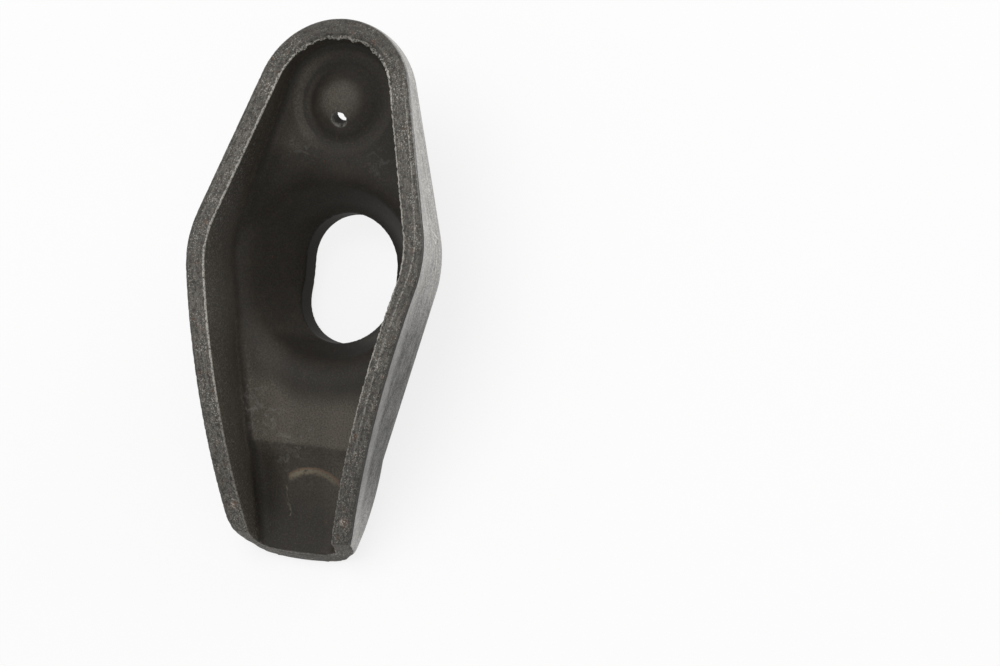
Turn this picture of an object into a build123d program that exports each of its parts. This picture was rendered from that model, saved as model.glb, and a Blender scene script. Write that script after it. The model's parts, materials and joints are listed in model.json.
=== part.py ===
from build123d import *
import os
from math import acos, asin, atan2, cos, degrees, hypot, radians, sin, sqrt

# A stamped rocker arm: one steel sheet drawn into a boat-shaped trough.
# The form is worked out in the arm's own frame first: the pivot centre is the origin, the flat
# floor of the trough lies at height 0, +X runs to the valve end and +Z comes up out of the trough.
# Sizes are in millimetres, angles in degrees.

# Sheet and its bends
sheet = 2.6                  # thickness of the steel
floor_corner = 1.5           # inside radius between the floor and the walls

# Plan of the trough, measured inside the walls
cup_reach = 22.4             # pivot to the pushrod cup
cup_wall_radius = 8.05       # round end of the wall about the cup
belly_offset = -2.3          # where the trough is widest, from the pivot
belly_radius = 13.0          # rounding of that meeting point
tip_reach = 37.2             # pivot to the valve end
tip_half_width = 5.4         # half the width at the valve end
tip_curve = 34.0             # bow of the valve end, seen from above
tip_corner = 1.0             # outer corners of the valve end, seen from above

# Heights of the rim above the floor
rim_at_cup = 2.6             # at the very end of the pushrod side
rim_at_belly = 8.6           # where the trough is widest
rim_at_tip = 2.0             # at the valve end

# Seat of the pivot ball
seat_radius = 11.0           # spherical seat, the ball's own radius
seat_flank_lean = 30.0       # lean of the straight flank above the seat, from upright
mouth_bend = 4.5             # radius of the roll from the floor down to that flank
seat_wall = 3.4              # steel under the seat, which the press leaves thicker than the walls
belly_room = 2.3             # from the seat's outside to the meeting point of the outer side lines
slot_width = 13.2            # stud slot through the bottom of the seat
slot_length = 17.6
slot_offset = 0.5            # slot centre from the pivot, towards the valve end

# Pushrod cup, a dome in the trough with the socket beneath it
cup_ball_radius = 4.0        # socket radius
socket_depth = 2.1           # depth of the socket from the underside of the floor
dome_radius = 6.5            # round top of the dome
dome_height = 1.6            # top of the dome above the floor
dome_foot_radius = 1.2       # hollow round the foot of the dome
recess_room = 0.86           # from the dome's foot to the wall of the round recess it stands in
recess_depth = 0.45
bead_gap = 0.4               # from the wall of the recess to the middle of the raised bead round it
bead_section = 0.8           # radius of the bead's round section
bead_height = 0.2            # top of the bead above the floor
oil_hole_diameter = 1.9
oil_hole_reach = 2.5         # oil hole from the cup's axis, towards the pivot, at the dome's surface
oil_hole_lean = 31.4         # lean of the oil hole towards the pivot, from upright

# Valve pad, curved along the arm
pad_start = 23.0             # crease between the floor and the pad
pad_radius = 20.0            # contact radius underneath
pad_dip = 1.5                # sink of the pad's upper face below the floor

# Broken edges
rim_edge = 0.35              # outer edge of the rim
slot_edge = 0.4              # lower edge of the slot
socket_edge = 0.5            # mouth of the pushrod socket

# Plan: straight sides run from the round end to the belly, then taper to the valve end.
outer_seat = seat_radius + seat_wall
belly_half_width = outer_seat - sheet + belly_room
belly_run = cup_reach + belly_offset
side_reach = hypot(belly_run, belly_half_width)
side_angle = atan2(belly_half_width, belly_run) - asin(cup_wall_radius / side_reach)
side_start = (-cup_reach - cup_wall_radius * sin(side_angle), cup_wall_radius * cos(side_angle))
taper = (belly_half_width - tip_half_width) / (tip_reach - belly_offset)
overrun = 4 * sheet
far_reach = tip_reach + overrun
far_half_width = tip_half_width - taper * overrun
clear_top = rim_at_belly + 2 * sheet
clear_depth = outer_seat + sheet
clear_width = 3 * belly_half_width

# Seat mouth: the seat arc and the roll of the mouth are joined by one straight flank.
flank_angle = -radians(seat_flank_lean)
flank_normal = Vector(cos(flank_angle), sin(flank_angle))
mouth_radius = (seat_radius + mouth_bend * (1 + sin(flank_angle))) / cos(flank_angle)
mouth_centre = Vector(mouth_radius, -mouth_bend)

# Pad: an arc about a line across the arm, struck through the crease.
pad_inner_radius = pad_radius - sheet
pad_centre_height = pad_inner_radius - pad_dip
pad_half_chord = sqrt(pad_inner_radius ** 2 - pad_centre_height ** 2)
pad_centre = pad_start + pad_half_chord
tip_angle = degrees(asin((tip_reach - pad_centre) / pad_inner_radius))
tip_turn = radians(tip_angle)
tip_plane = Plane(
    origin=(pad_centre, 0, pad_centre_height),
    x_dir=(cos(tip_turn), 0, sin(tip_turn)),
    z_dir=(sin(tip_turn), 0, -cos(tip_turn)),
)
tip_outer_half = tip_half_width + sheet * hypot(1, taper) + sheet / 8
tip_lean = taper * cos(tip_turn)

# Cup: centres of the dome and of the socket on the cup's axis, and the rings round the dome.
dome_centre = dome_height - dome_radius
dome_foot_reach = sqrt(dome_radius ** 2 - (dome_centre + recess_depth) ** 2)
recess_radius = dome_foot_reach + recess_room
bead_radius = recess_radius + bead_gap
socket_centre = socket_depth - sheet - cup_ball_radius
oil_hole_height = dome_centre + sqrt(dome_radius ** 2 - oil_hole_reach ** 2)

# Lying angle: the arm rests on the lower edges of the stud slot and on the pad.
slot_edge_drop = sqrt(outer_seat ** 2 - (slot_width / 2) ** 2)
pad_gap = hypot(pad_centre, pad_centre_height)
lying_angle = degrees(acos((pad_radius - slot_edge_drop) / pad_gap) - atan2(pad_centre, pad_centre_height))


def side_profile(skin):
    """Floor and pad seen from the side, filled upwards, grown downwards by a thickness."""
    radius = pad_inner_radius + skin
    start_angle = degrees(acos((pad_centre_height + skin) / radius))
    with BuildSketch(Plane.XZ) as profile:
        with BuildLine():
            pad_line = CenterArc(
                (pad_centre, pad_centre_height), radius, -90 - start_angle, start_angle + tip_angle + 20
            )
            Polyline(
                pad_line @ 1,
                (2 * far_reach, (pad_line @ 1).Y),
                (2 * far_reach, clear_top),
                (-2 * far_reach, clear_top),
                (-2 * far_reach, -skin),
                pad_line @ 0,
            )
        make_face()
    return profile.sketch


def plan_outline(skin):
    """The trough seen from above, grown sideways by a thickness."""
    with BuildSketch() as outline:
        with BuildLine():
            CenterArc(
                (-cup_reach, 0), cup_wall_radius, 90 + degrees(side_angle), 90 - degrees(side_angle)
            )
            Polyline(
                side_start,
                (belly_offset, belly_half_width),
                (far_reach, far_half_width),
                (far_reach, 0),
                (-cup_reach - cup_wall_radius, 0),
            )
        make_face()
        mirror(about=Plane.XZ)
        belly_points = outline.vertices().filter_by(lambda point: abs(point.X - belly_offset) < 0.01)
        fillet(belly_points, belly_radius)
        if skin > 0:
            offset(amount=skin)
    return outline.sketch


def foot_edges(form):
    """The edges where the upright walls of a form meet its underside."""
    walls = form.faces().filter_by(lambda face: abs(face.normal_at().Z) < 0.0001)
    side_walls = walls.filter_by(lambda face: face.center().X < far_reach - 0.01)
    return side_walls.edges().filter_by(
        lambda edge: edge.center().Z < rim_at_cup and abs(edge.tangent_at(0.5).Z) < 0.9
    )


inner_side = side_profile(0)
outer_side = side_profile(sheet)
inner_plan = plan_outline(0)
outer_plan = plan_outline(sheet)
middle_plan = plan_outline(sheet / 2)

# The valve end laid flat: the tapering sides, bowed across the end, with rounded corners.
with BuildSketch() as tip_outline:
    with BuildLine():
        Polyline(
            (-overrun, tip_outer_half + tip_lean * overrun),
            (overrun, tip_outer_half - tip_lean * overrun),
            (overrun, tip_lean * overrun - tip_outer_half),
            (-overrun, -tip_lean * overrun - tip_outer_half),
            close=True,
        )
    make_face()
    with Locations((-tip_curve, 0)):
        Circle(tip_curve, mode=Mode.INTERSECT)
    fillet(tip_outline.vertices().group_by(Axis.X)[-1], tip_corner)

# The inside of the trough as one body: floor, pad and seat, with upright walls round them.
with BuildPart() as hollow:
    extrude(inner_side, amount=clear_width, both=True)
    with BuildSketch(Plane.XZ):
        with BuildLine():
            Line((0, 0), (0, -seat_radius))
            JernArc((0, -seat_radius), (1, 0), seat_radius, 90 - seat_flank_lean)
            Line(flank_normal * seat_radius, mouth_centre - flank_normal * mouth_bend)
            CenterArc(mouth_centre, mouth_bend, 180 - seat_flank_lean, seat_flank_lean - 90)
            Line((mouth_radius, 0), (0, 0))
        make_face()
    revolve(axis=Axis.Z)
    extrude(inner_plan, amount=clear_depth + clear_top, both=True, mode=Mode.INTERSECT)
    fillet(foot_edges(hollow), floor_corner)

# The outside of the sheet, one thickness larger, with the bulge of the seat below it.
with BuildPart() as pressing:
    extrude(outer_side, amount=clear_width, both=True)
    extrude(outer_plan, amount=clear_depth + clear_top, both=True, mode=Mode.INTERSECT)
    fillet(foot_edges(pressing), floor_corner + sheet)
    Sphere(outer_seat, arc_size2=0, align=(Align.CENTER, Align.CENTER, Align.MAX))
    fillet(pressing.edges(Select.NEW), mouth_bend - sheet)
    add(hollow.part, mode=Mode.SUBTRACT)

    # Rim: a straight ramp up to the belly, then one arc down to the valve end.
    with BuildSketch(Plane.XZ):
        with BuildLine():
            ramp = Line(
                (-cup_reach - cup_wall_radius - sheet, rim_at_cup), (belly_offset, rim_at_belly)
            )
            brow = TangentArc(ramp @ 1, (tip_reach, rim_at_tip), tangent=ramp % 1)
            Polyline(
                brow @ 1,
                (brow @ 1) + (brow % 1) * overrun * 2,
                (3 * tip_reach, 3 * clear_top),
                (-3 * tip_reach, 3 * clear_top),
                (ramp @ 0) - (ramp % 0) * overrun,
                ramp @ 0,
            )
        make_face()
    extrude(amount=clear_width, both=True, mode=Mode.SUBTRACT)
    middle = middle_plan.face()
    outer_rim = pressing.edges(Select.LAST).filter_by(
        lambda edge: edge.position_at(0.5).X < tip_reach
        and not middle.is_inside(Vector(edge.position_at(0.5).X, edge.position_at(0.5).Y, 0))
    )
    fillet(outer_rim, rim_edge)

    # Valve end: cut square to the pad, to the outline laid flat above.
    with BuildSketch(tip_plane):
        with Locations((-tip_corner * 0.7, 0)):
            Rectangle(2 * overrun, clear_width, align=(Align.MIN, Align.CENTER))
        add(tip_outline.sketch, mode=Mode.SUBTRACT)
    extrude(amount=2 * pad_radius, mode=Mode.SUBTRACT)

    # Pushrod cup: bead, recess, dome, socket and oil hole.
    with Locations((-cup_reach, 0, bead_height - bead_section)):
        Torus(bead_radius, bead_section)
    with Locations((-cup_reach, 0, -recess_depth)):
        Cylinder(
            recess_radius,
            rim_at_belly,
            align=(Align.CENTER, Align.CENTER, Align.MIN),
            mode=Mode.SUBTRACT,
        )
    with BuildSketch(Plane.XZ):
        with Locations((-cup_reach, dome_centre)):
            Circle(dome_radius)
        with Locations((-cup_reach, -sheet / 2)):
            Rectangle(
                dome_radius, 2 * dome_radius, align=(Align.MIN, Align.MIN), mode=Mode.INTERSECT
            )
    revolve(axis=Axis((-cup_reach, 0, 0), (0, 0, 1)))
    dome_foot = pressing.edges().filter_by(GeomType.CIRCLE).filter_by(
        lambda edge: abs(edge.center().Z + recess_depth) < 0.01 and edge.radius < recess_radius - 0.01
    )
    fillet(dome_foot, dome_foot_radius)
    with Locations((-cup_reach, 0, socket_centre)):
        Sphere(cup_ball_radius, mode=Mode.SUBTRACT)
    socket_mouth = pressing.edges().filter_by(GeomType.CIRCLE).filter_by(
        lambda edge: abs(edge.center().Z + sheet) < 0.01 and edge.radius < cup_ball_radius
    )
    fillet(socket_mouth, socket_edge)
    with Locations(Location((oil_hole_reach - cup_reach, 0, oil_hole_height), (0, oil_hole_lean, 0))):
        Cylinder(oil_hole_diameter / 2, 2 * dome_radius, mode=Mode.SUBTRACT)

    # Stud slot through the seat.
    with BuildSketch(Plane.XY.offset(-clear_depth)):
        with Locations((slot_offset, 0)):
            SlotOverall(slot_length, slot_width)
    extrude(amount=clear_depth, mode=Mode.SUBTRACT)
    slot_lower_edges = pressing.edges(Select.LAST).filter_by(
        lambda edge: abs(edge.position_at(0.5).length - outer_seat) < 0.01
    )
    fillet(slot_lower_edges, slot_edge)

# The arm as it lies on a table, valve end down, still with the pivot centre at the origin.
with BuildPart() as rocker_arm:
    with Locations(Location((0, 0, 0), (0, lying_angle, 0))):
        add(pressing.part)

os.makedirs("parts", exist_ok=True)
rocker_arm.part.label = "rocker_arm"
export_step(rocker_arm.part, "parts/rocker_arm.step")
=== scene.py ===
import json
import math

import bpy
import numpy as np
from bpy.props import FloatProperty, FloatVectorProperty, PointerProperty
from mathutils import Matrix, Vector

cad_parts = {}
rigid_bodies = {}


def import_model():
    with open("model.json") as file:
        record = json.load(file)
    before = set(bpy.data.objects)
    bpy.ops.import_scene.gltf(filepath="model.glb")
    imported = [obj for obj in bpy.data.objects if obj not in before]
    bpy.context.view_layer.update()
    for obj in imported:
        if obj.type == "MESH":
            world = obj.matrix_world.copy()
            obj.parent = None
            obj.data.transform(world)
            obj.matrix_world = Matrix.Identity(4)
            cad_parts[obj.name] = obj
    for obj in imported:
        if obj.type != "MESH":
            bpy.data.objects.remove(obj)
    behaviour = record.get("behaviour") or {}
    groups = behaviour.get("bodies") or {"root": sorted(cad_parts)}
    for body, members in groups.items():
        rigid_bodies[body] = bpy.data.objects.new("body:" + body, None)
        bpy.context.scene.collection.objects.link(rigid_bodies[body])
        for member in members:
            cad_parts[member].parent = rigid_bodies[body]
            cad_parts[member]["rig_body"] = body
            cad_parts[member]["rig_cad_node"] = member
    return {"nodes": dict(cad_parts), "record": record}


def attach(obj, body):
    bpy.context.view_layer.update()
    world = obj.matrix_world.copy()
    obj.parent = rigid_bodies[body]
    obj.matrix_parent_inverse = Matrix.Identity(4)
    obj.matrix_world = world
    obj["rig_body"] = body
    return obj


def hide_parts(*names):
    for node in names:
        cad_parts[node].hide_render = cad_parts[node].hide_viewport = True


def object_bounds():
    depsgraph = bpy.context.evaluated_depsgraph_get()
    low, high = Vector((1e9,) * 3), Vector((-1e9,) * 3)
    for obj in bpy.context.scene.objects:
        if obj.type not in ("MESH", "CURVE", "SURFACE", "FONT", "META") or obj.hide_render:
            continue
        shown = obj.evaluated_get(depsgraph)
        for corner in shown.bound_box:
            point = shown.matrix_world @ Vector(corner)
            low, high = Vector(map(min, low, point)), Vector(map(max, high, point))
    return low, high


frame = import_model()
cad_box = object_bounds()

bl_info = {
    "name": "Stamped rocker arm",
    "version": (1, 0, 0),
    "blender": (4, 5, 0),
    "location": "3D View > Sidebar > Rocker arm",
    "description": "Dresses a stamped rocker arm with its sheared rim, worn edges and dark coating",
    "category": "Object",
}

MM = 0.001
NODE = "rocker_arm"
MOUNTS = {mount["name"]: mount for mount in frame["record"]["mounts"]}

# Marks that each have a place of their own, in the arm's frame, in millimetres
OIL_HOLE = (2.5, 0.0, 1.1)                  # its mouth, counted along the arm from the middle of the cup
OIL_HOLE_LIP = (1.10, 1.25)                 # the bright lip round it fades between these radii
SMUDGES = (                                 # centre, reach and strength of each
    ((17.6, -8.2, 0.2), 4.4, 0.6),
    ((21.0, -6.0, 0.0), 4.2, 0.6),
    ((22.3, -1.5, 0.0), 3.4, 0.5),
    ((25.2, -3.0, -0.8), 2.6, 0.4),
    ((-14.5, 5.8, 0.0), 4.0, 0.25),
    ((-16.0, -5.5, 0.0), 4.0, 0.2),
)
STAIN_CENTRE = (29.6, 0.7)                  # middle of the oval that the dried oil follows
STAIN_REACH = (3.4, 4.3)                    # half of that oval along and across the arm
PALE_LINE = ((28.7, -3.3, -1.4), (32.5, -2.1, -1.3))
WALL_SCRATCHES = (
    ((-6.8, 15.3, 4.9), (-5.6, 15.8, 2.2)),
    ((-5.9, 15.5, 4.6), (-5.0, 15.9, 3.0)),
)
CHIPS = (                                   # centre and reach of each chip on the rim
    ((32.1, 7.9, 4.6), 0.8),
    ((31.6, -7.5, 4.8), 0.75),
)
ALONG_ARM = (1, 0, 0)
TO_THE_RIGHT = (0, 1, 0)

WHITE = (1, 1, 1, 1)
FLOOR_SHADE = (0.92, 0.92, 0.92, 1)
FLOOR_GLOW = 0.8                            # share of plain white where the floor itself is seen
FLOOR_SIZE = 6.0                            # in metres
FLOOR_DROP = 0.02                           # below the arm, in millimetres
SENSOR_WIDTH = 36.0                         # in millimetres

# The arm lies tipped on its pad. Its own frame has its floor level at height 0, the pivot at the
# origin and +X towards the valve end; this turn brings it back to how it lies.
arm_up = Vector(MOUNTS["ball_seat"]["axis"])
arm_lean = math.atan2(arm_up.x, arm_up.z)
arm_turn = Matrix.Rotation(arm_lean, 3, "Y")


def mm(value):
    """A length in millimetres, in Blender's metres."""
    return value * MM


def cup_centre():
    """Station of the pushrod cup along the arm, in millimetres."""
    return (arm_turn.transposed() @ Vector(MOUNTS["pushrod_cup"]["pos_m"])).x / MM


# Properties


def length(name, description, millimetres):
    """A length that can be set in the sidebar."""
    return FloatProperty(name=name, description=description, default=mm(millimetres), unit="LENGTH")


def colour(name, description, value):
    """A colour that can be set in the sidebar."""
    return FloatVectorProperty(name=name, description=description, default=value, subtype="COLOR")


class RockerArmShape(bpy.types.PropertyGroup):
    """Sizes of the trough, inside its walls, and of the surface that is worked over it."""

    sheet: length("Sheet", "Thickness of the steel", 2.6)
    cup_wall_radius: length("Round end", "Inside radius of the round end about the cup", 8.05)
    belly_offset: length("Belly offset", "Where the trough is widest, from the pivot", -2.3)
    belly_half_width: length("Belly half width", "Half the width where the side lines meet", 14.1)
    belly_radius: length("Belly rounding", "Rounding of that meeting point", 13.0)
    tip_reach: length("Tip reach", "Pivot to the valve end", 37.2)
    tip_half_width: length("Tip half width", "Half the width at the valve end", 5.4)
    rim_at_cup: length("Rim at the cup", "Height of the rim at the very end of the pushrod side", 2.6)
    rim_at_belly: length("Rim at the belly", "Height of the rim where the trough is widest", 8.6)
    rim_at_tip: length("Rim at the tip", "Height of the rim at the valve end", 2.0)
    pad_centre: length("Pad centre", "Middle of the pad's arc along the arm", 30.07)
    pad_height: length("Pad centre height", "Height of the middle of the pad's arc", 15.9)
    pad_radius: length("Pad radius", "Inside radius of the pad's arc", 17.4)
    skin_pitch: length("Skin pitch", "Spacing of the points that carry the surface", 0.30)
    shear_depth: length("Shear roughness", "Depth of the torn grain on the sheared rim", 0.06)
    shear_grain: length("Shear grain", "Size of the torn grain on the sheared rim", 0.6)
    burr_depth: length("Burr", "Depth of the ragged line along the rim's inner edge", 0.70)
    burr_grain: length("Burr grain", "Size of the teeth of that line", 1.0)
    lip_depth: length("Torn lip", "How far the lip of the round end is torn to and fro", 1.6)
    lip_grain: length("Lip grain", "Size of the teeth of that lip", 0.9)


class RockerArmFinish(bpy.types.PropertyGroup):
    """Colours and gloss of the steel."""

    # coat_dark is the coating's own colour; darkened further, it is also the painted shade
    coat_dark: colour("Coating, deep", "Dark coating in the seat and on the walls", (0.0225, 0.0190, 0.0148))
    # coat_light is the lit copy of the coating that the painted light mixes in; the specks reuse it
    coat_light: colour("Coating, rubbed", "Coating where it is rubbed, on the floor", (0.094, 0.082, 0.066))
    shear_colour: colour("Sheared steel", "Grey of the sheared rim", (0.100, 0.093, 0.082))
    # wall_colour is partly the drawn steel's own grey, partly a painted reflection of the white surroundings
    wall_colour: colour("Outer wall", "Drawn grey of the outside of the walls", (0.46, 0.451, 0.435))
    bare_colour: colour("Bare steel", "Bright steel along worn edges", (0.46, 0.44, 0.40))
    stain_colour: colour("Stain", "Dried oil on the pad", (0.175, 0.150, 0.108))
    rust_colour: colour("Rust", "Rusty specks", (0.120, 0.052, 0.024))
    coat_roughness: FloatProperty(
        name="Coating roughness",
        description="Roughness of the coating",
        default=0.62,
        min=0.0,
        max=1.0,
        subtype="FACTOR",
    )


class RockerArmStage(bpy.types.PropertyGroup):
    """Lights and camera, the camera in the arm's own frame."""

    camera_place: FloatVectorProperty(
        name="Camera place",
        description="Where the camera stands",
        default=(mm(5.16), mm(126.6), mm(304.33)),
        subtype="XYZ_LENGTH",
        unit="LENGTH",
    )
    camera_aim: FloatVectorProperty(
        name="Camera aim",
        description="Point at the middle of the picture",
        default=(mm(5.68), mm(24.88), 0.0),
        subtype="XYZ_LENGTH",
        unit="LENGTH",
    )
    camera_up: FloatVectorProperty(
        name="Camera up",
        description="Direction that is upwards in the picture",
        default=(-0.9947, -0.0983, 0.0312),
        subtype="DIRECTION",
    )
    camera_lens: FloatProperty(
        name="Lens",
        description="Focal length on a sensor 36 mm wide",
        default=90.0,
        unit="CAMERA",
    )
    key_place: FloatVectorProperty(
        name="Key light place",
        description="Where the large soft light hangs, from the middle of the arm",
        default=(-0.12, -0.10, 0.60),
        subtype="XYZ_LENGTH",
        unit="LENGTH",
    )
    key_size: length("Key light size", "Diameter of the large soft light", 500.0)
    key_power: FloatProperty(
        name="Key light",
        description="Power of the large soft light overhead",
        default=1.7,
        unit="POWER",
    )
    side_place: FloatVectorProperty(
        name="Side light place",
        description="Where the soft light along the right wall hangs, from the middle of the arm",
        default=(-0.42, 0.36, 0.16),
        subtype="XYZ_LENGTH",
        unit="LENGTH",
    )
    side_size: length("Side light size", "Diameter of the soft light along the right wall", 300.0)
    side_power: FloatProperty(
        name="Side light",
        description="Power of the soft light along the right wall",
        default=0.8,
        unit="POWER",
    )
    sky_strength: FloatProperty(
        name="Sky",
        description="Strength of the even light from all round",
        default=0.55,
        min=0.0,
        soft_max=1.0,
        subtype="FACTOR",
    )


# Helpers


def select_only(piece):
    """Leaves one object selected and active."""
    bpy.ops.object.select_all(action="DESELECT")
    piece.select_set(True)
    bpy.context.view_layer.objects.active = piece


def finish_modifier(piece, kind, **settings):
    """Adds a modifier with its settings and applies it."""
    modifier = piece.modifiers.new(kind.title(), kind)
    for name, value in settings.items():
        setattr(modifier, name, value)
    select_only(piece)
    bpy.ops.object.modifier_apply(modifier=modifier.name)


def copy_of_node(name):
    """A free copy of the CAD node, with its loose triangles merged."""
    select_only(frame["nodes"][NODE])
    bpy.ops.object.duplicate()
    piece = bpy.context.view_layer.objects.active
    bpy.ops.object.parent_clear(type="CLEAR_KEEP_TRANSFORM")
    piece.name = name
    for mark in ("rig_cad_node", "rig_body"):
        del piece[mark]
    bpy.ops.object.mode_set(mode="EDIT")
    bpy.ops.mesh.select_all(action="SELECT")
    bpy.ops.mesh.remove_doubles(threshold=mm(0.001))
    bpy.ops.object.mode_set(mode="OBJECT")
    return piece


def ramp(value, low, high):
    """A smooth step from 0 at low to 1 at high."""
    share = np.clip((value - low) / (high - low), 0, 1)
    return share * share * (3 - 2 * share)


def band(value, start, full, fade, end):
    """A smooth rise from 0 at start to 1 at full, and a fall from 1 at fade to 0 at end."""
    return ramp(value, start, full) * ramp(value, end, fade)


class Surface:
    """The points of a mesh in the arm's own frame, in millimetres, and what is read off them."""

    def __init__(self, mesh, shape):
        place = np.empty(len(mesh.vertices) * 3)
        mesh.vertices.foreach_get("co", place)
        normal = np.empty(len(mesh.vertices) * 3)
        mesh.vertex_normals.foreach_get("vector", normal)
        turn = np.array(arm_turn)
        self.place = place.reshape(-1, 3) @ turn / MM
        self.normal = normal.reshape(-1, 3) @ turn
        self.station, self.side, self.height = self.place.T
        self.upward = self.normal[:, 2]
        self.from_pivot = np.hypot(self.station, self.side)
        self.from_cup = np.hypot(self.station - cup_centre(), self.side)
        self.gap, self.along, outward = self.plan(shape)
        self.sideways = (self.normal[:, :2] * outward).sum(axis=1)
        self.find_rim(shape)

    def find_rim(self, shape):
        """Finds the sheared rim and end face, and how far across and below them each point lies."""
        pad_depth, pad_along = self.pad(shape)
        below = self.rim_height(shape) - self.height
        endways = (self.normal[:, (0, 2)] * pad_along).sum(axis=1)
        on_top = ramp(below, 0.9, 0.35) * ramp(self.upward, 0.55, 0.8)
        at_end = ramp(self.station, 34.5, 35.5) * ramp(endways, 0.6, 0.8)
        self.rim = np.maximum(on_top, at_end)
        self.below = np.where(at_end > on_top, 0, below)
        self.across = np.maximum(self.gap, np.where(self.station > 30, pad_depth, -1))

    def rim_height(self, shape):
        """Height of the rim above each point: a straight ramp to the belly, then an arc to the tip."""
        along = self.station
        cup_end = cup_centre() - (shape.cup_wall_radius + shape.sheet) / MM
        belly = np.array((shape.belly_offset, shape.rim_at_belly)) / MM
        tip = np.array((shape.tip_reach, shape.rim_at_tip)) / MM
        slope = (belly[1] - shape.rim_at_cup / MM) / (belly[0] - cup_end)
        down = np.array((slope, -1)) / math.hypot(slope, 1)
        reach = tip - belly
        radius = reach @ reach / (2 * (reach @ down))
        centre = belly + down * radius
        arc = centre[1] + np.sqrt(np.maximum(radius ** 2 - (along - centre[0]) ** 2, 0))
        return np.where(along < belly[0], belly[1] + slope * (along - belly[0]), arc)

    def plan(self, shape):
        """How far each point lies outside the inner outline, how far round it, and which way out."""
        point = np.column_stack((self.station, abs(self.side)))
        cup = np.array((cup_centre(), 0))
        belly = np.array((shape.belly_offset, shape.belly_half_width)) / MM
        tip = np.array((shape.tip_reach, shape.tip_half_width)) / MM
        end_radius = shape.cup_wall_radius / MM
        rounding = shape.belly_radius / MM
        middle = shape.sheet / MM / 2

        run = belly - cup
        side_angle = math.atan2(run[1], run[0]) - math.asin(end_radius / np.hypot(*run))
        ahead = np.array((math.cos(side_angle), math.sin(side_angle)))
        ahead_out = np.array((-ahead[1], ahead[0]))
        after = (tip - belly) / np.hypot(*(tip - belly))
        after_out = np.array((-after[1], after[0]))
        level = np.array((ahead_out @ cup + end_radius - rounding, after_out @ belly - rounding))
        centre = np.linalg.solve(np.array((ahead_out, after_out)), level)

        from_cup = point - cup
        from_centre = point - centre
        cup_gap = np.linalg.norm(from_cup, axis=1)
        centre_gap = np.linalg.norm(from_centre, axis=1)
        straight = (centre - cup) @ ahead
        turn = math.acos(ahead_out @ after_out)
        cup_angle = np.arccos(np.clip(from_cup @ ahead_out / np.maximum(cup_gap, 1e-6), -1, 1))
        belly_angle = np.arccos(np.clip(from_centre @ ahead_out / np.maximum(centre_gap, 1e-6), -1, 1))

        zones = (
            from_cup @ ahead < 0,
            from_centre @ ahead < 0,
            from_centre @ after < 0,
        )
        gap = np.select(
            zones,
            (cup_gap - end_radius, from_cup @ ahead_out - end_radius, centre_gap - rounding),
            from_centre @ after_out - rounding,
        )
        round_about = np.select(
            zones,
            (
                -cup_angle * (end_radius + middle),
                from_cup @ ahead,
                straight + belly_angle * (rounding + middle),
            ),
            straight + turn * (rounding + middle) + from_centre @ after,
        )
        outward = np.select(
            [zone[:, None] for zone in zones],
            (
                from_cup / np.maximum(cup_gap, 1e-6)[:, None],
                np.broadcast_to(ahead_out, point.shape),
                from_centre / np.maximum(centre_gap, 1e-6)[:, None],
            ),
            np.broadcast_to(after_out, point.shape),
        )
        outward[:, 1] *= np.sign(self.side)
        return gap, round_about, outward

    def pad(self, shape):
        """How far each point lies below the pad's upper face, and the direction along the pad there."""
        from_centre = self.place[:, (0, 2)] - np.array((shape.pad_centre, shape.pad_height)) / MM
        gap = np.linalg.norm(from_centre, axis=1)
        along = np.column_stack((-from_centre[:, 1], from_centre[:, 0])) / np.maximum(gap, 1e-6)[:, None]
        return gap - shape.pad_radius / MM, along


def floor_share(surface):
    """1 on the level floors outside the seat, 0 elsewhere."""
    return ramp(surface.from_pivot, 13.0, 18.0) * ramp(surface.upward, 0.75, 0.97)


def painted_light_share(surface):
    """How much painted light lifts the coating at each point: on the floors, the dome, its ring and the
    walls.
    """
    station = surface.station
    side = surface.side
    from_cup = surface.from_cup
    from_pivot = surface.from_pivot
    upward = surface.upward
    # painted sheen on the floors from the light overhead, a painted highlight on the dome top and on the ring
    # round it
    valve_part = ramp(station, 14.0, 19.0) * (1 - 0.5 * ramp(station, 22.7, 23.3))
    dome_part = ramp(from_cup, 4.6, 1.4)
    left_part = ramp(side, -1.0, -6.0) * ramp(station, 28.0, 20.0)
    right_part = ramp(side, 1.0, 5.0) * ramp(station, 14.0, 19.0)
    tip_part = ramp(station, 27.0, 35.0)
    ring_part = band(from_cup, 5.9, 6.5, 6.8, 7.4)
    on_floor = 0.88 * valve_part + 0.65 * dome_part + 0.5 * left_part + 0.25 * right_part - 0.45 * tip_part
    on_floor = on_floor + 0.3 * ring_part - 0.08

    # painted light on the inner walls, rising towards the valve side, and in the seat and on its left roll
    on_wall = ramp(upward, 0.6, 0.2) * ramp(surface.height, -0.5, 1.0)
    on_wall = on_wall * (0.42 + 0.42 * ramp(station, 0.0, 20.0))
    in_seat = ramp(from_pivot, 17.0, 13.0) * ramp(station, 14.0, 7.0) * ramp(side, 6.0, -4.0)
    left_roll = ramp(side, -3.0, -7.0) * band(station, 5.0, 12.0, 19.0, 24.0) * ramp(upward, 0.3, 0.7)
    return floor_share(surface) * on_floor + on_wall + 0.2 * in_seat + 0.3 * left_roll


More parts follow.
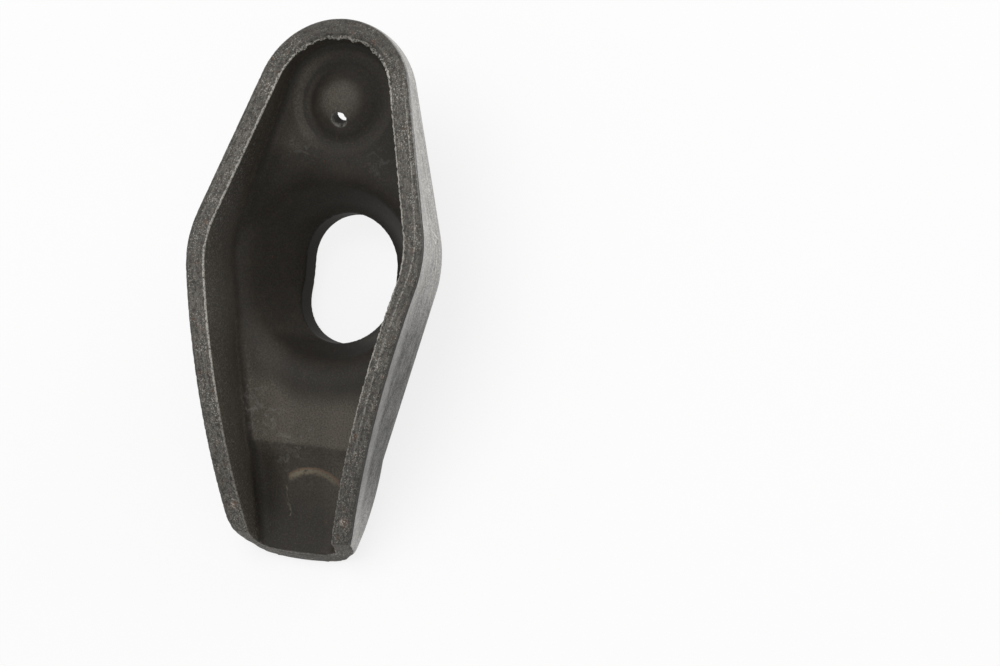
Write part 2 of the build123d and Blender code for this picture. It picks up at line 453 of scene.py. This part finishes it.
def painted_shade_share(surface):
    """How much painted shade darkens the coating at each point: in the slot, the seat and the corners of the
    floors.
    """
    station = surface.station
    side = surface.side
    height = surface.height
    from_cup = surface.from_cup
    # painted shade on the slot's walls, in the seat, below the slot, beside the dome and on the darker floors
    cut_wall = ramp(abs(surface.upward), 0.5, 0.3) * ramp(height, -6.0, -7.0)
    cut_wall = cut_wall * ramp(surface.from_pivot, 10.0, 9.5)
    in_seat = 0.05 * ramp(height, -3.0, -6.5) + 0.4 * ramp(height, -6.5, -9.0)
    below_slot = ramp(station, 8.0, 9.5) * ramp(height, -1.0, -3.0)
    beside_dome = band(from_cup, 3.8, 4.6, 5.4, 5.9) * ramp(height, -0.9, -0.6)
    pushrod_floor = floor_share(surface) * ramp(station, -9.0, -14.0) * ramp(from_cup, 5.5, 6.5)
    on_level = ramp(surface.upward, 0.4, 0.8) * ramp(surface.gap, 0.0, -1.0)
    pushrod_left = on_level * ramp(side, 1.0, -5.0) * band(station, -18.5, -14.0, -7.0, -2.0)
    pad_left = on_level * ramp(side, -2.0, -5.5) * band(station, 23.0, 25.0, 30.0, 34.0)
    shares = (
        0.68 * cut_wall,
        in_seat,
        0.35 * below_slot,
        0.35 * beside_dome,
        0.2 * pushrod_floor,
        0.45 * pushrod_left,
        0.35 * pad_left,
    )
    return np.max(shares, axis=0)


def store(mesh, name, values):
    """Keeps one number per point on the mesh, for its material to read."""
    attribute = mesh.attributes.new(name, "FLOAT", "POINT")
    attribute.data.foreach_set("value", values.astype(np.float32))


def weight_group(piece, name, values):
    """A vertex group with a weight per point."""
    group = piece.vertex_groups.new(name=name)
    for index in np.flatnonzero(values > 0.01):
        group.add([int(index)], float(values[index]), "REPLACE")


def tear(piece, name, weights, grain, depth, direction="NORMAL", level=1.0):
    """Moves the weighted points by a cloudy grain, at level 1 only inwards."""
    weight_group(piece, name, weights)
    texture = bpy.data.textures.new(name, "CLOUDS")
    texture.noise_scale = grain
    texture.noise_depth = 3
    finish_modifier(
        piece,
        "DISPLACE",
        texture=texture,
        texture_coords="LOCAL",
        vertex_group=name,
        direction=direction,
        mid_level=level,
        strength=depth,
    )


# Materials


class Wiring:
    """Short calls that add shader nodes to a node tree and join them."""

    def __init__(self, tree):
        self.tree = tree
        tree.nodes.clear()

    def node(self, kind, inputs=(), **settings):
        """A node with its settings, its inputs joined or set."""
        node = self.tree.nodes.new("ShaderNode" + kind)
        for name, value in settings.items():
            setattr(node, name, value)
        for key, value in dict(inputs).items():
            if isinstance(value, bpy.types.NodeSocket):
                self.tree.links.new(value, node.inputs[key])
            else:
                node.inputs[key].default_value = value
        return node

    def number(self, name):
        """A number that is kept on the mesh."""
        return self.node("Attribute", attribute_name=name).outputs["Fac"]

    def math(self, operation, *values):
        """A sum, product or the like of single numbers."""
        return self.node("Math", dict(enumerate(values)), operation=operation).outputs[0]

    def times(self, first, *others):
        """The product of all the numbers."""
        for other in others:
            first = self.math("MULTIPLY", first, other)
        return first

    def vector(self, operation, *values):
        """A node that works on places or directions."""
        return self.node("VectorMath", dict(enumerate(values)), operation=operation)

    def mix(self, factor, first, second):
        """A colour between two, the second one where the factor is 1."""
        inputs = {"Factor": factor, 6: first, 7: second}
        return self.node("Mix", inputs, data_type="RGBA").outputs[2]

    def blend(self, factor, first, second):
        """A number between two, the second one where the factor is 1."""
        return self.node("Mix", {"Factor": factor, 2: first, 3: second}).outputs[0]

    def step(self, value, low, high):
        """A smooth step from 0 at low to 1 at high."""
        inputs = {"Value": value, "From Min": low, "From Max": high}
        return self.node("MapRange", inputs, interpolation_type="SMOOTHSTEP").outputs[0]

    def band(self, value, start, full, fade, end):
        """A smooth rise from 0 at start to 1 at full, and a fall from 1 at fade to 0 at end."""
        return self.times(self.step(value, start, full), self.step(value, end, fade))

    def swing(self, value, reach):
        """How far a noise is from its middle, times a reach."""
        return self.times(self.math("SUBTRACT", value, 0.5), reach)

    def part(self, place, axis):
        """How far a place lies along an axis."""
        return self.vector("DOT_PRODUCT", place, axis).outputs["Value"]

    def noise(self, place, scale, detail=2.0, rough=0.5):
        """A cloudy number about 0.5."""
        inputs = {"Vector": place, "Scale": scale, "Detail": detail, "Roughness": rough}
        return self.node("TexNoise", inputs).outputs["Fac"]

    def spot(self, place, centre, radius, soft):
        """1 within a radius of a point, fading to 0 over a soft margin."""
        gap = self.vector("DISTANCE", place, centre).outputs["Value"]
        return self.step(gap, radius + soft, radius)

    def line(self, place, start, end, width, soft):
        """1 along a straight mark between two points, fading to 0 beside it."""
        run = Vector(end) - Vector(start)
        offset = self.vector("SUBTRACT", place, start).outputs[0]
        share = self.part(offset, run / run.length_squared)
        share = self.math("MINIMUM", self.math("MAXIMUM", share, 0.0), 1.0)
        nearest = self.vector("SCALE", run)
        self.tree.links.new(share, nearest.inputs["Scale"])
        gap = self.vector("DISTANCE", offset, nearest.outputs[0]).outputs["Value"]
        return self.step(gap, width + soft, width)


def new_material(name):
    """A material with no nodes yet, and the wiring for them."""
    material = bpy.data.materials.new(name)
    material.use_nodes = True
    return material, Wiring(material.node_tree)


def opaque(shade, level=1.0):
    """A colour at a level, with its fourth number, as a shader socket wants it."""
    return (*(Vector(shade) * level), 1.0)


def steel_material(finish):
    """Coated and worn steel: coating inside, sheared rim, drawn outer walls, bright edges that are partly
    bare steel and partly painted highlight.
    """
    material, w = new_material("worn_steel")
    place = w.node(
        "Mapping",
        {
            "Vector": w.node("TexCoord").outputs["Object"],
            "Rotation": (0, -arm_lean, 0),
            "Scale": (1 / MM, 1 / MM, 1 / MM),
        },
    ).outputs[0]
    rim = w.number("rim")
    outside = w.number("outside")
    fine = w.noise(place, 2.4, 4, 0.6)
    grain = w.noise(place, 4.2, 3, 0.65)
    streaks = w.noise(lengthwise(w, 0.05), 3.4, 5, 0.7)

    inside = coating(w, finish, place, fine, grain)
    shade = w.mix(outside, inside, drawn_wall(w, finish, place, streaks, grain))
    shade = w.mix(rim, shade, sheared_face(w, finish, place, fine, grain))
    shade = edge_wear_and_highlights(w, finish, place, shade, fine, grain)

    metal = w.math("MAXIMUM", w.times(outside, 0.35), w.times(rim, 0.3))
    bump = w.node("Bump", {"Height": grain, "Strength": 0.35, "Distance": mm(0.03)}).outputs[0]
    shader = w.node(
        "BsdfPrincipled",
        {
            "Base Color": shade,
            "Metallic": metal,
            "Roughness": finish.coat_roughness,
            "Specular IOR Level": w.blend(w.number("painted_shade"), 0.25, 0.0),
            "Normal": bump,
        },
    )
    w.node("OutputMaterial", {"Surface": shader.outputs[0]})
    return material


def on_right(w, place):
    """1 on the right of the arm, 0 on its left, with a soft change in the middle."""
    return w.step(w.part(place, TO_THE_RIGHT), -4.0, 4.0)


def lengthwise(w, stretch):
    """Places drawn out along the walls, for marks that run with them."""
    along = w.times(w.number("along"), stretch)
    return w.node("CombineXYZ", {"X": along, "Y": w.number("across"), "Z": w.number("height")}).outputs[0]


def coating(w, finish, place, fine, grain):
    """The dark coating inside: painted light on the floors, painted shade in the hollows, with dust, smudges,
    dried oil and rust.
    """
    # painted light: the coating runs from coat_dark to its lit copy coat_light, with broad mottling
    painted_light = w.math("ADD", w.number("painted_light"), w.swing(w.noise(place, 0.45, 4, 0.6), 0.35))
    coat = w.mix(painted_light, opaque(finish.coat_dark), opaque(finish.coat_light))
    coat = w.mix(w.times(w.step(grain, 0.56, 0.34), 0.45), coat, opaque(finish.coat_dark, 0.5))
    specks = w.times(w.step(grain, 0.52, 0.70), w.blend(w.step(painted_light, 0.3, 0.9), 0.12, 0.45))
    coat = w.mix(specks, coat, opaque(finish.coat_light, 1.5))
    # painted shade: coat_dark darkened further where the painted shade share is high
    coat = w.mix(w.number("painted_shade"), coat, opaque(finish.coat_dark, 0.3))
    dust = w.times(w.step(grain, 0.52, 0.70), w.number("dusty"), 0.55)
    coat = w.mix(dust, coat, opaque(finish.bare_colour, 0.6))
    coat = smudges(w, finish, place, coat)
    hole = (cup_centre() + OIL_HOLE[0], *OIL_HOLE[1:])
    from_hole = w.vector("DISTANCE", place, hole).outputs["Value"]
    lip = w.times(w.step(from_hole, OIL_HOLE_LIP[1], OIL_HOLE_LIP[0]), w.step(fine, 0.35, 0.6), 0.5)
    coat = w.mix(lip, coat, opaque(finish.bare_colour, 0.6))
    coat = dried_oil(w, finish, place, coat, fine)
    rusty = w.times(w.step(w.noise(place, 1.9, 3, 0.7), 0.66, 0.74), 0.6)
    return w.mix(rusty, coat, opaque(finish.rust_colour))


def smudges(w, finish, place, coat):
    """Swirled smudges where the floors were rubbed."""
    swirl = w.node("TexNoise", {"Vector": place, "Scale": 0.35, "Detail": 2.0}).outputs["Color"]
    swirled = w.vector("MULTIPLY_ADD", swirl, (5.0, 5.0, 5.0), place).outputs[0]
    drawn_out = w.vector("MULTIPLY", swirled, (1.0, 0.4, 1.0)).outputs[0]
    smear = w.step(w.noise(drawn_out, 1.1, 6, 0.7), 0.47, 0.70)
    for centre, reach, strength in SMUDGES:
        rub = w.times(w.spot(place, centre, 0.0, reach), smear, strength)
        coat = w.mix(rub, coat, opaque(finish.bare_colour, 0.5))
    return coat


def dried_oil(w, finish, place, coat, fine):
    """An arc of dried oil on the pad, rusty along its outer edge, and a pale line on the pad's left."""
    flat = w.vector("MULTIPLY", place, (1 / STAIN_REACH[0], 1 / STAIN_REACH[1], 0.0)).outputs[0]
    middle = (STAIN_CENTRE[0] / STAIN_REACH[0], STAIN_CENTRE[1] / STAIN_REACH[1], 0.0)
    ring = w.math("ADD", w.vector("DISTANCE", flat, middle).outputs["Value"], w.swing(fine, 0.16))
    station = w.part(place, ALONG_ARM)
    side = w.part(place, TO_THE_RIGHT)
    arc = w.times(w.band(ring, 0.74, 0.96, 1.05, 1.13), w.step(fine, 0.25, 0.55))
    arc = w.times(arc, w.step(station, 28.6, 26.9), w.step(side, -3.1, -2.5))
    oil = w.times(arc, w.blend(w.step(side, -1.0, 2.5), 1.0, 0.6))
    coat = w.mix(oil, coat, opaque(finish.stain_colour))
    coat = w.mix(w.times(arc, w.step(ring, 1.0, 1.08), 0.7), coat, opaque(finish.rust_colour))
    swerve = w.node("CombineXYZ", {"Y": w.swing(w.noise(place, 0.9), 2.0)}).outputs[0]
    swerved = w.vector("ADD", place, swerve).outputs[0]
    run = w.times(w.line(swerved, *PALE_LINE, 0.04, 0.2), w.step(fine, 0.35, 0.6), 0.6)
    return w.mix(run, coat, opaque(finish.stain_colour))


def drawn_wall(w, finish, place, streaks, grain):
    """The outside of the walls, burnished by the die in long streaks, with painted shade towards the valve
    side and a painted highlight band below the rim.
    """
    along = w.number("along")
    below = w.math("ADD", w.number("below"), w.math("SUBTRACT", streaks, 0.5))
    shades = opaque(finish.wall_colour, 0.72), opaque(finish.wall_colour, 1.35)
    wall = w.mix(w.step(streaks, 0.3, 0.7), *shades)
    blotch = w.noise(lengthwise(w, 0.35), 1.1, 5, 0.7)
    wall = w.mix(w.times(w.step(blotch, 0.50, 0.34), 0.5), wall, opaque(finish.wall_colour, 0.45))
    wall = w.mix(w.times(w.step(blotch, 0.54, 0.70), 0.4), wall, opaque(finish.wall_colour, 1.6))
    wall = w.mix(w.times(w.step(grain, 0.56, 0.36), 0.6), wall, opaque(finish.wall_colour, 0.45))
    wall = w.mix(w.times(w.step(grain, 0.52, 0.68), 0.5), wall, opaque(finish.wall_colour, 1.8))
    # painted shade: the walls towards the valve side turn away from the light and are darkened, with mottling
    darkened = w.times(w.step(along, 20.0, 37.0), w.blend(w.step(along, 50.0, 62.0), 0.96, 0.25))
    worn = w.math("ADD", w.times(blotch, 0.6), w.times(grain, 0.6))
    dark = w.mix(w.step(worn, 0.46, 0.76), opaque(finish.wall_colour, 0.14), opaque(finish.wall_colour, 0.46))
    wall = w.mix(darkened, wall, dark)
    # painted highlight: a lighter band a little below the rim
    highlight_band = w.times(w.band(below, 0.6, 1.0, 1.8, 3.2), 0.28)
    wall = w.mix(highlight_band, wall, opaque(finish.wall_colour, 1.3))
    for start, end in WALL_SCRATCHES:
        scratch = w.times(w.line(place, start, end, 0.02, 0.22), 0.7)
        wall = w.mix(scratch, wall, opaque(finish.wall_colour, 1.9))
    # a thin dark line just under the rim's outer edge, stronger towards the valve side
    rim_dark_line = w.times(w.step(w.number("below"), 0.75, 0.55), w.blend(w.step(along, 10.0, 24.0), 0.45, 0.9))
    return w.mix(rim_dark_line, wall, opaque(finish.wall_colour, 0.14))


def sheared_face(w, finish, place, fine, grain):
    """The sheared rim: dark torn steel with bright flecks in patches and short marks along it."""
    marks = w.noise(lengthwise(w, 0.12), 3.6, 4, 0.65)
    patches = w.step(w.noise(place, 0.4, 3), 0.42, 0.64)
    shades = opaque(finish.shear_colour, 0.5), opaque(finish.shear_colour, 1.25)
    shear = w.mix(w.step(marks, 0.3, 0.7), *shades)
    flecks = w.times(w.step(w.noise(place, 5.4, 3, 0.75), 0.53, 0.66), w.blend(patches, 0.3, 0.9))
    shear = w.mix(flecks, shear, opaque(finish.bare_colour, 1.1))
    shear = w.mix(w.times(w.step(fine, 0.50, 0.36), 0.75), shear, opaque(finish.shear_colour, 0.3))
    along = w.number("along")
    at_belly = w.band(along, 14.0, 20.0, 26.0, 32.0)
    at_tip = w.times(w.step(along, 40.0, 54.0), on_right(w, place))
    darkened = w.math("MAXIMUM", w.times(w.math("MAXIMUM", at_belly, at_tip), 0.6), w.step(along, 2.0, -8.0))
    darkened = w.times(darkened, 0.4)
    shear = w.mix(darkened, shear, opaque(finish.shear_colour, 0.4))
    rusty = w.times(w.step(w.noise(place, 0.8, 4, 0.7), 0.58, 0.70), 0.35)
    shear = w.mix(rusty, shear, opaque(finish.rust_colour))
    for centre, reach in CHIPS:
        chip = w.spot(place, centre, 0.1, reach)
        shear = w.mix(w.times(chip, w.step(fine, 0.60, 0.45), 0.7), shear, opaque(finish.rust_colour))
        shear = w.mix(w.times(chip, w.step(grain, 0.50, 0.60), 0.8), shear, opaque(finish.bare_colour))
    return shear


def edge_wear_and_highlights(w, finish, place, shade, fine, grain):
    """Lines along the rim, partly bare steel and partly painted highlight: bright and ragged inside, bright
    and fine further out, dark under the edge.
    """
    across = w.number("across")
    below = w.number("below")
    along = w.number("along")
    at_cup = w.step(along, 3.0, -3.0)
    teeth = w.swing(fine, w.blend(at_cup, 0.45, 1.4))
    ragged = w.math("SUBTRACT", across, teeth)
    # partly bare steel, partly a painted highlight along the rim's inner edge
    inner_line = w.times(w.band(ragged, -0.25, -0.05, 0.10, 0.26), w.step(below, 0.40, 0.22))
    inner_line = w.times(inner_line, w.step(grain, 0.36, 0.52), w.blend(w.step(along, 38.0, 54.0), 0.9, 0.3))
    inner_line = w.times(inner_line, w.blend(w.step(along, -2.0, -8.0), 1.0, 0.5))
    shade = w.mix(inner_line, shade, opaque(finish.bare_colour))
    # partly bare steel, partly a painted highlight along the rim's outer edge, stronger on the right
    off_outer_line = w.math("SUBTRACT", across, w.blend(w.step(along, 8.0, 34.0), 2.05, 1.10))
    off_outer_line = w.math("ABSOLUTE", w.math("SUBTRACT", off_outer_line, w.swing(fine, 0.35)))
    outer_line = w.times(w.step(off_outer_line, 0.16, 0.04), w.step(below, 0.42, 0.22), w.step(grain, 0.42, 0.58))
    outer_line = w.times(outer_line, w.blend(on_right(w, place), 0.1, 0.45))
    outer_line = w.times(outer_line, w.band(along, -2.0, 6.0, 40.0, 54.0))
    shade = w.mix(outer_line, shade, opaque(finish.bare_colour))
    under_rim = w.times(w.band(below, 0.30, 0.42, 0.56, 0.70), w.step(across, 2.0, 2.4))
    under_rim = w.times(under_rim, w.step(along, 2.0, 16.0), w.step(fine, 0.25, 0.45), 0.85)
    return w.mix(under_rim, shade, opaque(finish.coat_dark))


# Operators


class ROCKERARM_OT_pressing(bpy.types.Operator):
    """Works the pressing's surface over and gives it its finish"""

    bl_idname = "rockerarm.pressing"
    bl_label = "Dress the pressing"

    def execute(self, context):
        shape = context.scene.rocker_arm_shape
        piece = copy_of_node("arm_pressing")
        finish_modifier(piece, "REMESH", mode="VOXEL", voxel_size=shape.skin_pitch, adaptivity=0.0)
        finish_modifier(piece, "SHRINKWRAP", target=frame["nodes"][NODE], wrap_method="NEAREST_SURFACEPOINT")
        bpy.ops.object.shade_smooth()

        surface = Surface(piece.data, shape)
        self.wear_down(piece, surface, shape)
        self.keep_fields(piece.data, surface, shape)
        piece.data.materials.clear()
        piece.data.materials.append(steel_material(context.scene.rocker_arm_finish))
        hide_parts(NODE)
        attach(piece, "root")
        return {"FINISHED"}

    def wear_down(self, piece, surface, shape):
        """Softens the ring round the dome and the end's corners, and tears the sheared edges."""
        sheet = shape.sheet / MM
        along = surface.along
        cup_ring = band(surface.from_cup, 2.6, 3.8, 7.3, 7.9) * ramp(surface.height, -0.9, -0.6)
        worn_corner = ramp(surface.station, 33.4, 35.0) * ramp(surface.gap, sheet * 0.3, sheet * 0.7)
        for name, weights, rounds in (("cup_ring", cup_ring, 90), ("worn_corner", worn_corner, 40)):
            weight_group(piece, name, weights)
            finish_modifier(piece, "SMOOTH", factor=0.5, iterations=rounds, vertex_group=name)
        inner_edge = ramp(surface.across, 0.8, 0.3) * surface.rim * (0.15 + 0.85 * ramp(along, 4.0, -3.0))
        torn_lip = ramp(surface.across, 0.7, 0.2) * ramp(surface.below, 0.9, 0.3) * ramp(along, -3.0, -7.0)
        tear(piece, "sheared", surface.rim, shape.shear_grain, shape.shear_depth)
        tear(piece, "burr", inner_edge, shape.burr_grain, shape.burr_depth)
        tear(piece, "lip", torn_lip, shape.lip_grain, shape.lip_depth, "X", 0.5)

    def keep_fields(self, mesh, surface, shape):
        """Keeps on the mesh what its material reads."""
        sheet = shape.sheet / MM
        outside = ramp(surface.gap, sheet * 0.75, sheet * 0.95)
        outside = outside * ramp(surface.sideways - surface.upward, 0.0, 0.5)
        dusty = ramp(surface.upward, 0.5, 0.2) * ramp(surface.below, 8.0, 0.0)
        dusty = dusty * ramp(surface.along, 0.0, 12.0)
        for name, values in (
            ("rim", surface.rim),
            ("outside", outside),
            ("across", surface.across),
            ("along", surface.along),
            ("height", surface.height),
            ("below", surface.below),
            ("painted_light", painted_light_share(surface)),
            ("painted_shade", painted_shade_share(surface)),
            ("dusty", dusty),
        ):
            store(mesh, name, values)


class ROCKERARM_OT_stage(bpy.types.Operator):
    """Sets up the floor, the lights, the sky and the camera"""

    bl_idname = "rockerarm.stage"
    bl_label = "Set the stage"

    def execute(self, context):
        stage = context.scene.rocker_arm_stage
        self.lay_floor()
        middle = (cad_box[0] + cad_box[1]) / 2
        self.hang_light("key_light", stage.key_place, middle, stage.key_size, stage.key_power)
        self.hang_light("side_light", stage.side_place, middle, stage.side_size, stage.side_power)
        self.fill_sky(context, stage.sky_strength)
        self.stand_camera(context, stage)
        context.scene.view_settings.view_transform = "Standard"
        return {"FINISHED"}

    def lay_floor(self):
        """A pale floor just under the arm, near white where it is seen."""
        bpy.ops.object.select_all(action="DESELECT")
        height = cad_box[0][2] - mm(FLOOR_DROP)
        bpy.ops.mesh.primitive_plane_add(size=FLOOR_SIZE, location=(0, 0, height))
        floor = bpy.context.view_layer.objects.active
        floor.name = "floor"
        material, w = new_material("pale_floor")
        matt = w.node("BsdfDiffuse", {"Color": FLOOR_SHADE})
        glow = w.node("Emission", {"Color": WHITE, "Strength": 1.0})
        seen = w.times(seen_directly(w), FLOOR_GLOW)
        both = w.node("MixShader", {0: seen, 1: matt.outputs[0], 2: glow.outputs[0]})
        w.node("OutputMaterial", {"Surface": both.outputs[0]})
        floor.data.materials.append(material)

    def hang_light(self, name, offset, aim, size, power):
        """A round soft light at an offset from its aim."""
        place = aim + Vector(offset)
        turn = (aim - place).to_track_quat("-Z", "Y").to_euler()
        bpy.ops.object.light_add(type="AREA", location=place, rotation=turn)
        lamp = bpy.context.view_layer.objects.active
        lamp.name = name
        lamp.data.shape = "DISK"
        lamp.data.size = size
        lamp.data.energy = power

    def fill_sky(self, context, strength):
        """An even light from all round, white where it is seen."""
        sky = bpy.data.worlds.new("sky")
        context.scene.world = sky
        sky.use_nodes = True
        w = Wiring(sky.node_tree)
        level = w.blend(seen_directly(w), strength, 1.0)
        light = w.node("Background", {"Color": WHITE, "Strength": level})
        w.node("OutputWorld", {"Surface": light.outputs[0]})

    def stand_camera(self, context, stage):
        """The camera, placed in the arm's own frame."""
        back = (Vector(stage.camera_place) - Vector(stage.camera_aim)).normalized()
        right = Vector(stage.camera_up).cross(back).normalized()
        turn = arm_turn @ Matrix((right, back.cross(right), back)).transposed()
        place = arm_turn @ Vector(stage.camera_place)
        bpy.ops.object.camera_add(location=place, rotation=turn.to_euler())
        camera = bpy.context.view_layer.objects.active
        camera.name = "camera"
        camera.data.lens = stage.camera_lens
        camera.data.sensor_width = SENSOR_WIDTH
        camera.data.sensor_fit = "HORIZONTAL"
        context.scene.camera = camera


def seen_directly(w):
    """1 for what the camera, a reflection or glass sees, 0 for light that falls on the object."""
    path = w.node("LightPath")
    seen = w.math("MAXIMUM", path.outputs["Is Camera Ray"], path.outputs["Is Glossy Ray"])
    return w.math("MAXIMUM", seen, path.outputs["Is Transmission Ray"])


class ROCKERARM_PT_sidebar(bpy.types.Panel):
    """Sizes, finish and stage of the rocker arm"""

    bl_idname = "ROCKERARM_PT_sidebar"
    bl_label = "Rocker arm"
    bl_space_type = "VIEW_3D"
    bl_region_type = "UI"
    bl_category = "Rocker arm"

    def draw(self, context):
        for group in (
            context.scene.rocker_arm_shape,
            context.scene.rocker_arm_finish,
            context.scene.rocker_arm_stage,
        ):
            box = self.layout.box()
            for name in group.__annotations__:
                box.prop(group, name)
        self.layout.operator(ROCKERARM_OT_pressing.bl_idname)
        self.layout.operator(ROCKERARM_OT_stage.bl_idname)


CLASSES = (
    RockerArmShape,
    RockerArmFinish,
    RockerArmStage,
    ROCKERARM_OT_pressing,
    ROCKERARM_OT_stage,
    ROCKERARM_PT_sidebar,
)


def register():
    for kind in CLASSES:
        bpy.utils.register_class(kind)
    bpy.types.Scene.rocker_arm_shape = PointerProperty(type=RockerArmShape)
    bpy.types.Scene.rocker_arm_finish = PointerProperty(type=RockerArmFinish)
    bpy.types.Scene.rocker_arm_stage = PointerProperty(type=RockerArmStage)


def unregister():
    del bpy.types.Scene.rocker_arm_stage
    del bpy.types.Scene.rocker_arm_finish
    del bpy.types.Scene.rocker_arm_shape
    for kind in reversed(CLASSES):
        bpy.utils.unregister_class(kind)


def main():
    register()
    bpy.ops.rockerarm.pressing()
    bpy.ops.rockerarm.stage()


if __name__ == "__main__":
    main()
